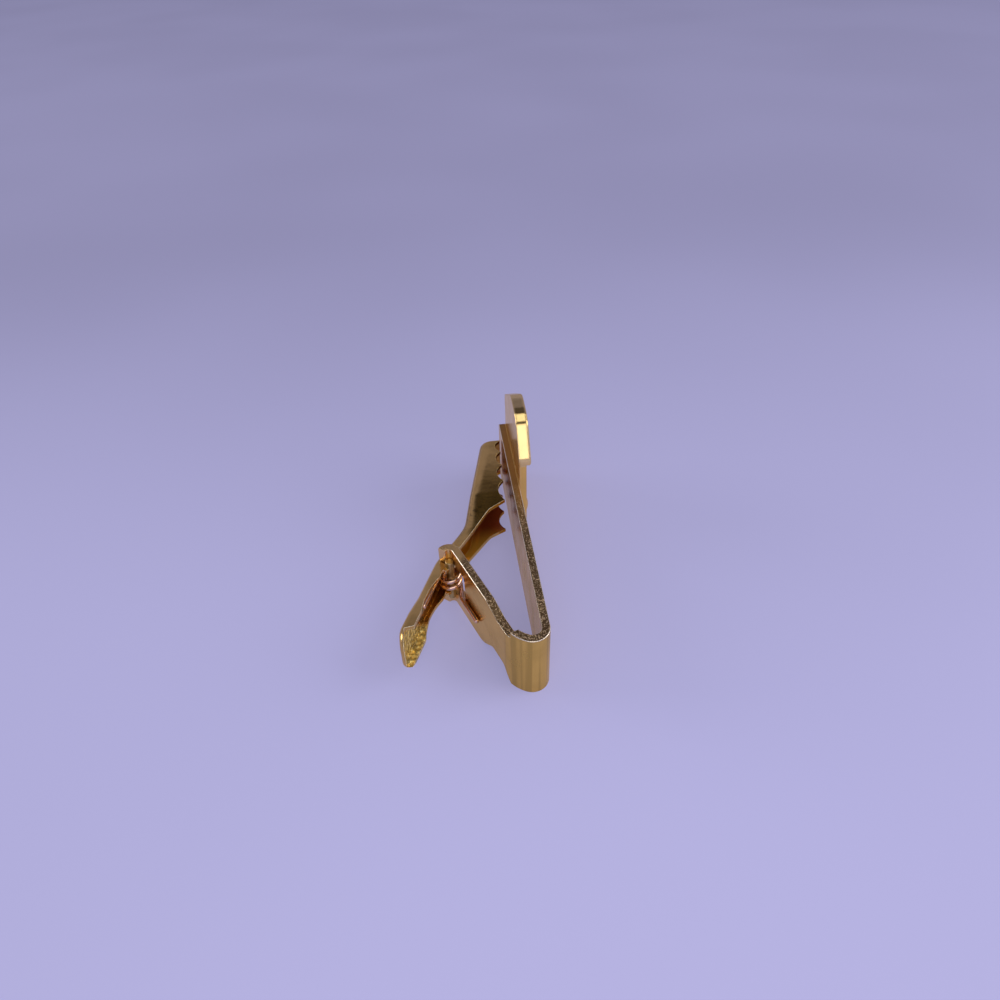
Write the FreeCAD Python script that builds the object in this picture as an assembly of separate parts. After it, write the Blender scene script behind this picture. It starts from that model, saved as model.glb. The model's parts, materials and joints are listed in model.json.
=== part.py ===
import FreeCAD, Part
import math
import os

# Tie clip with a sprung alligator jaw. Millimetres and degrees.
# X points out through the front of the bar, Y runs along the bar from the fold to the open end, Z is up.
# The clip stands on its lower long edge. The origin is on that edge, in the middle of the bar's thickness,
# level with the centre of the fold.

# The folded strip
strip_width = 7.5
strip_thickness = 0.8
bar_length = 30.5
fold_inner_radius = 0.8
fold_turn = 114.0
flare_inner_radius = 2.6
leg_splay = 21.0
leg_length = 10.55
edge_ease = 0.08

# The leg's waist, as notches in its upper and lower edges
waist_start = -0.9
upper_notch_depth = 0.7
upper_notch_length = 4.4
lower_notch_depth = 1.8
lower_notch_length = 5.6
notch_slope_length = 2.2
notch_ease = 0.8
notch_run_ease = 3.5

# The hinge
pin_diameter = 0.8
pin_end_inset = 1.2
hook_turn = 120.0
hook_clearance = 0.01
running_clearance = 0.05
lug_wall = 0.42
fork_height = 4.2
fork_upper_clearance = 0.1
fork_reach = 2.4
fork_corner = 0.5

# The spring
wire_diameter = 0.42
coil_pitch = 0.93
coil_whole_turns = 2
coil_pin_gap = 0.28
coil_web_gap = 0.08
arm_seat_gap = 0.02
arm_knee_inset = 0.25
arm_knee_radius = 1.1
leg_arm_length = 5.4
tail_arm_length = 5.0

# The jaw
jaw_sheet = 0.4
neck_height = 3.65
neck_depth = 1.2
front_height = 5.0
tab_height = 4.6
tail_splay = 23.7
tail_length = 9.0
tab_plate_length = 1.75
tab_bend = 21.0
tab_length = 3.5
tab_slope_length = 2.2
tab_corner = 1.6
tab_cut_slant = 0.7
tail_scoop_start = 1.6
tail_scoop_length = 4.8
tail_scoop_depth = 0.4
neck_reach = 5.4
front_slope_start = 3.9
front_slope_length = 5.6
first_tooth_reach = 8.25
jaw_reach = 19.0
tip_land = 0.5
tip_depth = 2.2
front_taper = 13.0
shoulder_angle = 60.0
tip_corner = 1.5
near_tooth_gap = 0.85
tip_gap = 0.12
scallop_count = 4
scallop_depth = 0.62
last_scallop_share = 0.66
web_ease = 0.55
bend_ease = 4.0
tab_ease = 3.0
slope_ease = 2.0

# The ornament on the bar's front
ornament_length = 11.3
plaque_thickness = 0.85
pad_thickness = 0.45
ornament_base = 0.5
ornament_peak_rise = 7.3
ornament_peak_setback = 5.4
ornament_shoulder_rise = 7.1
ornament_shoulder_inset = 3.9
ornament_facet_rise = 6.95
ornament_facet_inset = 3.1
ornament_near_corner_rise = 6.4
ornament_near_corner_inset = 2.0
ornament_near_side_rise = 3.1
ornament_far_corner_rise = 3.9
pad_base_rise = 2.3
ornament_corner = 1.0
pad_corner = 0.5
pad_swell = 0.12
ornament_top_ease = 2.0
ornament_edge_ease = 0.2
boss_diameter = 4.0
boss_height = 0.3
boss_setback = 6.2
boss_rise = 4.9
bead_diameter = 1.9
bead_height = 0.3
bead_margin = 0.35
bead_rise = 3.2

# Worked out from the sizes above
UP = FreeCAD.Vector(0, 0, 1)
REACH = 4 * strip_width
mid_height = strip_width / 2
pin_radius = pin_diameter / 2
wire_radius = wire_diameter / 2
hook_inner_radius = pin_radius + hook_clearance
coil_radius = pin_radius + coil_pin_gap + wire_radius
web_inner_offset = coil_radius + wire_radius + coil_web_gap
web_offset = web_inner_offset + jaw_sheet
lug_radius = pin_radius + running_clearance + lug_wall
jaw_mid_height = mid_height + fork_height / 2 - fork_upper_clearance - neck_height / 2
bar_inner_face = -strip_thickness / 2
bar_front_face = strip_thickness / 2


def heading(angle):
    """Unit vector in the plan at an angle from +Y towards -X."""
    return FreeCAD.Vector(-math.sin(math.radians(angle)), math.cos(math.radians(angle)), 0)


def turned(vector, angle):
    """A vector turned about +Z."""
    return FreeCAD.Rotation(UP, angle).multVec(vector)


def line_edge(start, end):
    return Part.LineSegment(start, end).toShape()


def arc_edge(start, middle, end):
    return Part.Arc(start, middle, end).toShape()


def walk(start, angle, moves):
    """Follow straight runs (length, 0) and arcs (radius, turn); give each stretch with where it starts."""
    stretches = []
    for size, turn in moves:
        direction = heading(angle)
        if turn:
            centre = start + turned(direction, math.copysign(90, turn)) * size
            end = centre + turned(start - centre, turn)
        else:
            centre = None
            end = start + direction * size
        stretches.append((start, end, turned(direction, 90), centre, turn))
        start = end
        angle += turn
    return stretches


def beside(stretches, offset):
    """The edges that run beside a walked path, offset to its left."""
    edges = []
    for start, end, left, centre, turn in stretches:
        first = start + left * offset
        if turn:
            arm = first - centre
            edges.append(arc_edge(first, centre + turned(arm, turn / 2), centre + turned(arm, turn)))
        else:
            edges.append(line_edge(first, end + left * offset))
    return edges


def rounded(corners):
    """A closed outline through (u, v, radius) corners, each eased by an arc tangent to both sides."""
    points = [FreeCAD.Vector(u, v, 0) for u, v, radius in corners]
    entries = []
    for index, (u, v, radius) in enumerate(corners):
        point = points[index]
        back = (points[index - 1] - point).normalize()
        ahead = (points[(index + 1) % len(points)] - point).normalize()
        half = back.getAngle(ahead) / 2
        if radius:
            inward = (back + ahead).normalize()
            middle = point + inward * (radius / math.sin(half) - radius)
            cut = radius / math.tan(half)
            entries.append((point + back * cut, middle, point + ahead * cut))
        else:
            entries.append((point, None, point))
    edges = []
    for index, (first, middle, last) in enumerate(entries):
        if middle:
            edges.append(arc_edge(first, middle, last))
        edges.append(line_edge(last, entries[(index + 1) % len(entries)][0]))
    return Part.Face(Part.Wire(edges))


def plan_prism(corners, low, high):
    """An outline drawn in the plan and raised between two heights."""
    solid = rounded(corners).extrude(UP * (high - low))
    solid.translate(UP * low)
    return solid


def standing_prism(corners, origin, angle, depth):
    """An outline drawn upright, along a plan heading and up, and thickened towards the bar."""
    solid = rounded(corners).extrude(UP * depth)
    upright = FreeCAD.Rotation(FreeCAD.Vector(1, 1, 1), 120)
    solid.Placement = FreeCAD.Placement(origin, FreeCAD.Rotation(UP, angle).multiply(upright))
    return solid


def meet(point_a, direction_a, point_b, direction_b):
    """Where two lines in the plan cross."""
    gap = point_b - point_a
    across = direction_a.x * direction_b.y - direction_a.y * direction_b.x
    return point_a + direction_a * ((gap.x * direction_b.y - gap.y * direction_b.x) / across)


# The strip's path, from the open end of the bar round the fold and up the leg to the end of the hook
half_thickness = strip_thickness / 2
strip_path = walk(
    FreeCAD.Vector(0, bar_length, 0),
    180,
    [
        (bar_length, 0),
        (fold_inner_radius + half_thickness, -fold_turn),
        (flare_inner_radius + half_thickness, fold_turn + leg_splay - 180),
        (leg_length, 0),
        (hook_inner_radius + half_thickness, hook_turn),
    ],
)
leg_start = strip_path[3][0]
leg_direction = heading(leg_splay)
leg_inward = turned(leg_direction, -90)
pivot = strip_path[4][3]
tail_direction = heading(180 - tail_splay)
tail_outward = turned(tail_direction, -90)
tab_direction = turned(tail_direction, tab_bend)
tab_outward = turned(tab_direction, -90)


def folded_bar():
    """The V of strip: bar, fold, waisted leg and the fork's two hooks."""
    left = beside(strip_path, half_thickness)
    right = beside(strip_path, -half_thickness)
    ends = [
        line_edge(left[0].Vertexes[0].Point, right[0].Vertexes[0].Point),
        line_edge(left[-1].Vertexes[-1].Point, right[-1].Vertexes[-1].Point),
    ]
    outline = Part.Wire(Part.__sortEdges__(left + right + ends))
    strip = Part.Face(outline).extrude(UP * strip_width)
    long_edges = [edge for edge in strip.Edges if abs(edge.BoundBox.ZLength) < edge_ease]
    strip = strip.makeFillet(edge_ease, long_edges)

    notch_side = leg_start - leg_inward * 2 * strip_thickness
    upper_floor = strip_width - upper_notch_depth
    above = 2 * strip_width
    upper_notch = standing_prism(
        [
            (waist_start, above, 0),
            (waist_start, upper_floor, notch_ease / 4),
            (waist_start + upper_notch_length - notch_slope_length, upper_floor, notch_ease),
            (waist_start + upper_notch_length, strip_width, 0),
            (waist_start + upper_notch_length, above, 0),
        ],
        notch_side,
        leg_splay,
        4 * strip_thickness,
    )
    lower_notch = standing_prism(
        [
            (waist_start, -strip_width, 0),
            (waist_start, 0, 0),
            (waist_start + notch_slope_length / 2, lower_notch_depth, notch_ease),
            (waist_start + lower_notch_length - notch_slope_length, lower_notch_depth, notch_ease),
            (waist_start + lower_notch_length, -edge_ease / 4, notch_run_ease),
            (waist_start + lower_notch_length + notch_run_ease, -edge_ease / 4, 0),
            (waist_start + lower_notch_length + notch_run_ease, -strip_width, 0),
        ],
        notch_side,
        leg_splay,
        4 * strip_thickness,
    )
    hook_reach = hook_inner_radius + strip_thickness
    fork_floor = mid_height - fork_height / 2
    fork_top = mid_height + fork_height / 2
    fork = standing_prism(
        [
            (leg_length - fork_reach, fork_floor, fork_corner),
            (leg_length - fork_reach, fork_top, fork_corner),
            (leg_length + 2 * hook_reach, fork_top, 0),
            (leg_length + 2 * hook_reach, fork_floor, 0),
        ],
        leg_start - leg_inward * 3 * hook_reach,
        leg_splay,
        5 * hook_reach,
    )
    return strip.cut([upper_notch, lower_notch, fork])


def hinge_pin():
    """A straight pin held in both hooks, with eased ends."""
    length = strip_width - 2 * pin_end_inset
    pin = Part.makeCylinder(pin_radius, length, pivot + UP * pin_end_inset)
    rims = [edge for edge in pin.Edges if len(edge.Vertexes) == 1]
    return pin.makeFillet(pin_radius / 4, rims)


# The jaw's lines in the plan: tooth line, web of the front, neck and tail
tooth_line_far = FreeCAD.Vector(bar_inner_face - tip_gap, pivot.y + jaw_reach, 0)
tooth_line_near = FreeCAD.Vector(bar_inner_face - near_tooth_gap, pivot.y + first_tooth_reach, 0)
tooth_direction = (tooth_line_far - tooth_line_near).normalize()
front_direction = heading(-front_taper)
front_corner = tooth_line_far - FreeCAD.Vector(tip_depth, 0, 0)
neck_bend = meet(
    front_corner,
    front_direction,
    FreeCAD.Vector(0, pivot.y + neck_reach, 0),
    FreeCAD.Vector(1, 0, 0),
)
to_pivot = pivot - neck_bend
neck_lean = math.degrees(math.asin(web_offset / to_pivot.Length))
neck_direction = turned(to_pivot, -neck_lean).normalize()
neck_outward = turned(neck_direction, -90)


def web_corners(inset):
    """Corners of the web's face, tail end first, moved inwards from its outer face by a distance."""
    tail_point = pivot + tail_outward * (web_offset - inset)
    tab_point = pivot + tail_outward * web_offset + tail_direction * tail_length - tab_outward * inset
    neck_point = pivot + neck_outward * (web_offset - inset)
    front_inward = turned(front_direction, -90)
    front_point = front_corner + front_inward * inset
    tip_point = front_corner - FreeCAD.Vector(0, inset, 0)
    return [
        tab_point + tab_direction * tab_plate_length,
        meet(tail_point, tail_direction, tab_point, tab_direction),
        meet(tail_point, tail_direction, neck_point, neck_direction),
        meet(neck_point, neck_direction, front_point, front_direction),
        meet(front_point, front_direction, tip_point, FreeCAD.Vector(1, 0, 0)),
    ]


def jaw_profile(overrun, corner):
    """Upright outline of the jaw: thumb tab, narrow neck and tall front, as (y, z, radius) corners."""
    tail_end = web_corners(0)[0].y
    tab_end = tail_end + tab_length
    slope = pivot.y + front_slope_start
    tip = pivot.y + jaw_reach
    upper = [
        (tail_end - overrun, tab_height / 2, corner),
        (tab_end, tab_height / 2, slope_ease),
        (tab_end + tab_slope_length, neck_height / 2, slope_ease),
        (slope, neck_height / 2, slope_ease),
        (slope + front_slope_length, front_height / 2, slope_ease),
        (tip + overrun, front_height / 2, 0),
    ]
    lower = [(y, -z, radius) for y, z, radius in reversed(upper)]
    return [(y, z + jaw_mid_height, radius) for y, z, radius in upper + lower]


def scallops():
    """Upright cylinders between neighbouring tooth tips, each pitch shorter than the last."""
    steps = [1 - (1 - last_scallop_share) * i / (scallop_count - 1) for i in range(scallop_count)]
    span = (tooth_line_far - tooth_line_near).Length - tip_land
    towards_bar = turned(tooth_direction, -90)
    start = 0
    cutters = []
    for step in steps:
        pitch = span * step / sum(steps)
        middle = tooth_line_near + tooth_direction * (start + pitch / 2)
        cutters.append(dip(middle, towards_bar, pitch, scallop_depth))
        start += pitch
    return cutters


def dip(centre_line_point, away, chord, depth):
    """An upright cylinder that dips into an edge over a chord, its axis out on the open side."""
    radius = (chord * chord / 4 + depth * depth) / (2 * depth)
    centre = centre_line_point + away * (radius - depth)
    return Part.makeCylinder(radius, REACH, centre - UP * REACH / 2)


def tail_scoop():
    """The shallow hollow in both flange edges of the tail."""
    edge = pivot + tail_outward * (web_offset - neck_depth)
    middle = edge + tail_direction * (tail_scoop_start + tail_scoop_length / 2)
    return dip(middle, tail_outward * -1, tail_scoop_length, tail_scoop_depth)


def tab_cut():
    """The upper ground past a slanted line across the tail, where only the web and lower flange run on."""
    start = pivot + tail_direction * tail_length
    corner = start + tail_outward * web_offset
    edge = start + tail_outward * (web_offset - neck_depth) - tail_direction * tab_cut_slant
    outer = corner + (corner - edge)
    inner = edge + (edge - corner) * 2
    beyond = tail_direction * REACH
    corners = [outer, inner, inner + beyond, outer + beyond]
    return plan_prism([(point.x, point.y, 0) for point in corners], jaw_mid_height, 2 * strip_width)


def alligator_jaw():
    """The stamped channel lever, with its scalloped front, pivot lugs and thumb tab."""
    web = web_corners(0)
    tail_edge = pivot + tail_outward * (web_offset - neck_depth)
    neck_edge = pivot + neck_outward * (web_offset - neck_depth)
    shoulder = heading(180 - shoulder_angle)
    outline = [
        (web[0].x, web[0].y, 0),
        (web[1].x, web[1].y, tab_ease),
        (web[2].x, web[2].y, bend_ease),
        (web[3].x, web[3].y, bend_ease),
        (web[4].x, web[4].y, tip_corner),
        (tooth_line_far.x, tooth_line_far.y, 0),
        (tooth_line_near.x, tooth_line_near.y, 0),
    ]
    shoulder_end = meet(tooth_line_near, shoulder, neck_edge, neck_direction)
    edge_bend = meet(neck_edge, neck_direction, tail_edge, tail_direction)
    flange_end = meet(tail_edge, tail_direction, web[0], tab_outward)
    outline += [
        (shoulder_end.x, shoulder_end.y, slope_ease),
        (edge_bend.x, edge_bend.y, 0),
        (flange_end.x, flange_end.y, 0),
    ]
    profile_start = FreeCAD.Vector(-REACH, 0, 0)
    body = plan_prism(outline, -strip_width, 2 * strip_width)
    body = body.common(standing_prism(jaw_profile(0, tab_corner), profile_start, 0, 2 * REACH))

    web_face = rounded(outline)
    web_line = Part.Wire(web_face.OuterWire.OrderedEdges[0:9])
    eased = []
    for edge in body.Edges:
        middle = edge.valueAt((edge.FirstParameter + edge.LastParameter) / 2)
        flat = FreeCAD.Vector(middle.x, middle.y, 0)
        on_web = Part.Vertex(flat).distToShape(web_line)[0] < 0.001
        if on_web and edge.BoundBox.ZLength < strip_width / 2:
            eased.append(edge)
    body = body.makeFillet(web_ease, eased)

    inner = web_corners(jaw_sheet)
    beyond = inner[0] + tab_direction * strip_width
    cavity_outline = [
        (beyond.x, beyond.y, 0),
        (inner[1].x, inner[1].y, tab_ease - jaw_sheet),
        (inner[2].x, inner[2].y, bend_ease),
        (inner[3].x, inner[3].y, bend_ease),
        (inner[4].x, inner[4].y, tip_corner - jaw_sheet),
        (REACH, inner[4].y, 0),
        (REACH, beyond.y, 0),
    ]
    cavity = plan_prism(cavity_outline, -strip_width, 2 * strip_width)
    room = rounded(jaw_profile(strip_width, 0)).makeOffset2D(-jaw_sheet)
    room = room.extrude(UP * 2 * REACH)
    upright = FreeCAD.Rotation(FreeCAD.Vector(1, 1, 1), 120)
    room.Placement = FreeCAD.Placement(profile_start, upright)
    body = body.cut([cavity.common(room), cavity.common(tab_cut())])

    lug_floor = neck_height / 2 - jaw_sheet
    for base in (jaw_mid_height + lug_floor, jaw_mid_height - neck_height / 2):
        body = body.fuse(Part.makeCylinder(lug_radius, jaw_sheet, FreeCAD.Vector(pivot.x, pivot.y, base)))
    hole = Part.makeCylinder(pin_radius + running_clearance, strip_width, pivot)
    return body.cut([hole, tail_scoop()] + scallops()).removeSplitter()


def biarc(start, start_way, end, end_way):
    """Two tangent arcs from one point and direction to another."""
    gap = end - start
    ways = start_way + end_way
    spread = 2 * (1 - start_way.dot(end_way))
    reach = (math.sqrt(gap.dot(ways) ** 2 + spread * gap.dot(gap)) - gap.dot(ways)) / spread
    knee_a = start + start_way * reach
    knee_b = end - end_way * reach
    joint = (knee_a + knee_b) / 2
    edges = []
    for first, knee, last in ((start, knee_a, joint), (joint, knee_b, end)):
        chord = (first + last) / 2
        lean = math.acos(min(1, (chord - first).Length / (knee - first).Length))
        middle = chord + (knee - chord) * (math.tan(lean / 2) / math.tan(lean))
        edges.append(arc_edge(first, middle, last))
    return edges


def spring_path():
    """The wire's line: leg arm, coil, tail arm. Each arm leaves on its own side, so a squeeze winds the coil."""
    arm_knee_reach = fork_reach - arm_knee_inset
    leg_seat = hook_inner_radius - wire_radius - arm_seat_gap
    tail_seat = web_inner_offset - wire_radius - arm_seat_gap
    leg_lean = math.asin(coil_radius / math.hypot(arm_knee_reach, leg_seat))
    leg_lean -= math.atan(leg_seat / arm_knee_reach)
    tail_lean = math.asin(tail_seat / math.hypot(coil_radius, tail_arm_length))
    tail_lean -= math.atan(coil_radius / tail_arm_length)
    start_angle = math.degrees(math.atan2(leg_inward.y, leg_inward.x) - leg_lean)
    end_angle = math.degrees(math.atan2(tail_outward.y, tail_outward.x) - tail_lean)
    sweep = (end_angle - start_angle) % 360 + 360 * coil_whole_turns
    steps = 4 * math.ceil(sweep / 360)
    rise = coil_pitch * sweep / 360
    slope = coil_pitch / (2 * math.pi * coil_radius)
    points = []
    ways = []
    for step in range(steps + 1):
        share = step / steps
        arm = turned(FreeCAD.Vector(coil_radius, 0, 0), start_angle + sweep * share)
        way = turned(arm, 90).normalize()
        if 0 < step < steps:
            way = (way + UP * slope).normalize()
        points.append(FreeCAD.Vector(pivot.x, pivot.y, jaw_mid_height + rise * (share - 0.5)) + arm)
        ways.append(way)
    seat_line = FreeCAD.Vector(pivot.x, pivot.y, points[0].z) + leg_inward * leg_seat
    knee = seat_line - leg_direction * arm_knee_reach
    knee_cut = arm_knee_radius * math.tan(leg_lean / 2)
    knee_start = knee - leg_direction * knee_cut
    knee_end = knee + ways[0] * knee_cut
    edges = [line_edge(seat_line - leg_direction * leg_arm_length, knee_start)]
    edges += biarc(knee_start, leg_direction, knee_end, ways[0])
    edges.append(line_edge(knee_end, points[0]))
    for step in range(steps):
        edges += biarc(points[step], ways[step], points[step + 1], ways[step + 1])
    edges.append(line_edge(points[-1], points[-1] + ways[-1] * tail_arm_length))
    return Part.Wire(edges)


def least_gap(path):
    """The smallest gap between stretches of the wire that lie at least half a turn apart."""
    samples = path.discretize(Number=600)
    spacing = path.Length / (len(samples) - 1)
    apart = math.ceil(math.pi * coil_radius / spacing)
    nearest = path.Length
    for index, point in enumerate(samples):
        for other in samples[index + apart:]:
            nearest = min(nearest, point.distanceToPoint(other))
    return nearest - wire_diameter


def torsion_spring():
    """One unbroken round wire along the spring's line."""
    path = spring_path()
    first = path.OrderedEdges[0]
    section = Part.Circle(first.firstVertex().Point, first.tangentAt(first.FirstParameter), wire_radius)
    wire = path.makePipeShell([Part.Wire(section.toShape())], True, False)
    print("spring: least gap %.3f, volume %.4f, section times length %.4f" % (
        least_gap(path), wire.Volume, math.pi * wire_radius ** 2 * path.Length))
    return wire


def tier(base, base_corner, thickness, swell):
    """One flat tier of the ornament behind a plain outline, swollen evenly and eased round its front edge."""
    far = bar_length + swell
    near = bar_length - ornament_length - swell
    level = strip_width + swell
    outline = [
        (far, base, base_corner),
        (far, level + ornament_far_corner_rise, ornament_corner),
        (far - ornament_peak_setback, level + ornament_peak_rise, ornament_top_ease),
        (near + ornament_shoulder_inset, level + ornament_shoulder_rise, ornament_corner),
        (near + ornament_facet_inset, level + ornament_facet_rise, ornament_corner),
        (near + ornament_near_corner_inset, level + ornament_near_corner_rise, ornament_corner),
        (near, level + ornament_near_side_rise, ornament_corner),
        (near, base, base_corner),
    ]
    solid = standing_prism(outline, FreeCAD.Vector(bar_front_face, 0, 0), 0, thickness)
    front = bar_front_face + thickness
    rim = [edge for edge in solid.Edges if edge.CenterOfMass.x > front - ornament_edge_ease]
    return solid.makeFillet(ornament_edge_ease, rim)


def dome(front, y, z, diameter, height):
    """A low spherical cap standing on an upright face."""
    radius = (diameter * diameter / 4 + height * height) / (2 * height)
    ball = Part.makeSphere(radius, FreeCAD.Vector(front + height - radius, y, z))
    base = FreeCAD.Vector(front - height / 2, y, z)
    return ball.common(Part.makeCylinder(diameter, 2 * height, base, FreeCAD.Vector(1, 0, 0)))


def ornament():
    """A plain plaque with a raised upper pad, a domed boss and two beads, on the bar's front at its open end."""
    plaque_front = bar_front_face + plaque_thickness
    pad_front = plaque_front + pad_thickness
    beads = bead_diameter / 2 + bead_margin
    plaque = tier(ornament_base, ornament_corner, plaque_thickness, 0)
    return plaque.fuse([
        tier(strip_width + pad_base_rise, pad_corner, plaque_thickness + pad_thickness, pad_swell),
        dome(pad_front, bar_length - boss_setback, strip_width + boss_rise, boss_diameter, boss_height),
        dome(plaque_front, bar_length - ornament_length + beads, ornament_base + bead_rise, bead_diameter, bead_height),
        dome(plaque_front, bar_length - beads, ornament_base + bead_rise, bead_diameter, bead_height),
    ]).removeSplitter()


os.makedirs("parts", exist_ok=True)
for build in (folded_bar, alligator_jaw, hinge_pin, torsion_spring, ornament):
    shape = build()
    print(build.__name__, "valid", shape.isValid(), "solids", len(shape.Solids), "volume %.3f" % shape.Volume)
    shape.exportStep("parts/" + build.__name__ + ".step")
print("pivot x %.3f y %.3f" % (pivot.x, pivot.y))
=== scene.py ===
import json
import math

import bpy
import numpy as np
from mathutils import Matrix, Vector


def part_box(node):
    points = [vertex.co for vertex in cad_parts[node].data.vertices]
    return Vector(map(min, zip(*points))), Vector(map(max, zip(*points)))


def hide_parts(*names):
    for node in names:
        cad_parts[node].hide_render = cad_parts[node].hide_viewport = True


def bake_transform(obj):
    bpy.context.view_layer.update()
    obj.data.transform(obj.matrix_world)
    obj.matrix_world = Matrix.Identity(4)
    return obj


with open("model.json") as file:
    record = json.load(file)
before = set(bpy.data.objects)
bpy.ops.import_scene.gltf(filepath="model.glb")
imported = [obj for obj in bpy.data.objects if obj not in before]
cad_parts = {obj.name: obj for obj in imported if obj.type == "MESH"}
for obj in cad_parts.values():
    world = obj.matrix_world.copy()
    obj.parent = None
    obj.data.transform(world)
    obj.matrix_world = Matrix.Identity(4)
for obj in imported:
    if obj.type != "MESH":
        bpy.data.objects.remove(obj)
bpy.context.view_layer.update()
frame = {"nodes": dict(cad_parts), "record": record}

bl_info = {
    "name": "Tie clip looks",
    "version": (1, 0, 0),
    "blender": (4, 5, 0),
    "location": "View3D > Sidebar > Tie clip",
    "description": "Dresses the sprung tie clip in its plated finishes and sets its stage",
    "category": "Object",
}

MM = 0.001
PER_MM = 1000.0
BLACK = (0.0, 0.0, 0.0)

# Level directions: along the leg, and from the jaw's web towards its teeth
LEG_SPLAY = math.radians(21.0)
LEG_WAY = (-math.sin(LEG_SPLAY), math.cos(LEG_SPLAY), 0.0)
JAW_INWARD = (0.974, -0.225, 0.0)

# Numbers of the mix node's sockets that hold colours
MIX_COLOURS = (6, 7)
MIX_RESULT = 2

# In the finishes below, a pair of numbers is where an effect starts and where it is full

# All metal: its tint at a glancing angle, its mottled and specked noise, and highlights painted on its rims
GRAZING_TINT = (1.0, 0.92, 0.75, 1.0)
MOTTLE_NOISE = (0.3, 0.7)
SPECK_NOISE = (0.52, 0.68)
RIM_RADIUS = 0.08 * MM
RIM_AGREEMENT = (0.985, 0.9)

# Cut edges: the upward part of the normal, and its part along the strip where an edge is level
EDGE_LIFT = (0.72, 0.97)
SLOPED_EDGE_LIFT = (0.2, 0.4)
CORNER_LIFT = (0.1, 0.3)
CORNER_END_LIFT = (0.99, 0.9)
LEVEL_SLOPE = (0.28, 0.15)

# Strip: places, distances from the hinge, and the strength of its grain and of the ripples at its fold
LEG_SIDE_X = (-2.9 * MM, -3.2 * MM)
FOLD_Y = (1.2 * MM, -0.2 * MM)
CLEAN_EDGE_Y = (11.0 * MM, 22.0 * MM)
HOOK_FACE_REACH = (3.6 * MM, 1.8 * MM)
HOOK_CAP_REACH = (2.2 * MM, 1.1 * MM)
GRAIN_CROWDING = 1.7
GRAIN_HEIGHT = 1.8
EDGE_ROUGHNESS = 0.22
RIPPLE_STRETCH = (PER_MM, PER_MM, 0.015 * PER_MM)
RIPPLE_NOISE = (0.44, 0.6)
RIPPLE_HEIGHT = 4.0

# Jaw: places along it, across it and up it
SHOULDER_START_Y = (14.0 * MM, 17.5 * MM)
SHOULDER_END_Y = (23.0 * MM, 18.0 * MM)
CHANNEL_START_Y = (10.5 * MM, 13.0 * MM)
TEETH_START_Y = (15.5 * MM, 19.5 * MM)
DARK_REFLECTION_INWARD = (-7.6 * MM, -5.6 * MM)
LOW_FLANGE_Z = (3.4 * MM, 2.8 * MM)
HOLLOW_FLOOR_Z = (2.4 * MM, 2.55 * MM)
HOLLOW_ROOF_Z = (5.45 * MM, 5.3 * MM)
TAB_LEAN = 0.9
TAB_SLANT = (8.4 * MM, 7.6 * MM)
TAB_TOP_Z = (5.9 * MM, 5.5 * MM)

# Jaw: the part of the normal that faces up, or towards the bar
SHOULDER_UPWARD = (0.5, 0.9)
LOW_FLANGE_UPWARD = (0.3, 0.7)
TAB_BARWARD = (-0.4, 0.0)
HOLLOW_BARWARD = (0.2, 0.5)

# Jaw: the strength of its painted dark reflection, of its pebbles and of what makes it less metallic
DARK_REFLECTION_SHARE = 0.6
PEBBLE_SCALE = 2.3 * PER_MM
PEBBLE_PITS = (0.35, 0.65)
PEBBLE_HEIGHT = 16.0
CHANNEL_DULLNESS = 0.5
TAB_DULLNESS = 0.5
RIM_HIGHLIGHT_DULLNESS = 0.6
EXTRA_POLISH = 0.04

# Jaw: the slight relief of its sheet, which is in the finish alone
JAW_BUMP = 0.014 * MM
BOW_MIDDLE_Y = 20.0 * MM
BOW_REACH = 5.0 * MM
BOW_SLOPE = 0.0875
NECK_END_Y = 17.0 * MM
NECK_EASE = 4.0 * MM
NECK_SLOPE = 0.09
ROLL_START_INWARD = -7.9 * MM
ROLL_START_Y = (13.5 * MM, 16.5 * MM)
ROLL_CURVE = 250.0

# Ornament: the lower edge of its raised pad, the front of its plaque, and its mottling
BELOW_PAD_Z = (9.82 * MM, 9.77 * MM)
PLAQUE_FRONT_X = (0.42 * MM, 0.7 * MM)
ORNAMENT_MOTTLE = 0.08

# Spring: how finely its line and its wire are divided, and the shape of its bends and ends
COIL_POINTS = 360
ARM_POINTS = 24
KNEE_POINTS = 9
WIRE_SIDES = 20
END_RINGS = 5
END_BULGE = 0.5
END_TIP = 0.02
COIL_EASE = 0.08
KNEE_CUT = 0.25 * MM

# Stage, in metres: what the lamps aim at, and each lamp's place, width, power and colour
LAMP_AIM = (-0.004, 0.012, 0.004)
FRONT_WHITE = (1.0, 0.98, 0.96)
SOFT_WHITE = (1.0, 0.98, 0.97)
LAMPS = {
    "Front softbox": ((-0.05, -0.42, 0.30), 0.42, 0.75, FRONT_WHITE),
    "Left softbox": ((-0.48, 0.16, 0.17), 0.22, 0.8, SOFT_WHITE),
    "Right softbox": ((0.44, -0.06, 0.285), 0.38, 1.3, SOFT_WHITE),
    "Top softbox": ((0.06, 0.035, 0.50), 0.12, 0.081, SOFT_WHITE),
}

# Stage, in metres: the floor, the ceiling by the upward part of a look at it, and the room's light
FLOOR_HALF_WIDTH = 1.2
FLOOR_FAR_Y = (-0.035, 0.12)
FLOOR_CLOUD_NOISE = (0.3, 0.7)
FLOOR_BLACKENING = 0.4
CEILING_UPWARD = (0.62, 0.78)
ROOM_LIGHT = (0.40, 0.40, 0.43)

# Camera: the width of its square frame in the lens's millimetres, and the nearest that it sees
FRAME_WIDTH = 36.0
NEAREST = 1.0 * MM


def size_setting(name, description, millimetres):
    return bpy.props.FloatProperty(
        name=name, description=description, default=millimetres * MM, unit="LENGTH", precision=5)


def angle_setting(name, description, radians):
    return bpy.props.FloatProperty(name=name, description=description, default=radians, subtype="ANGLE")


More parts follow.
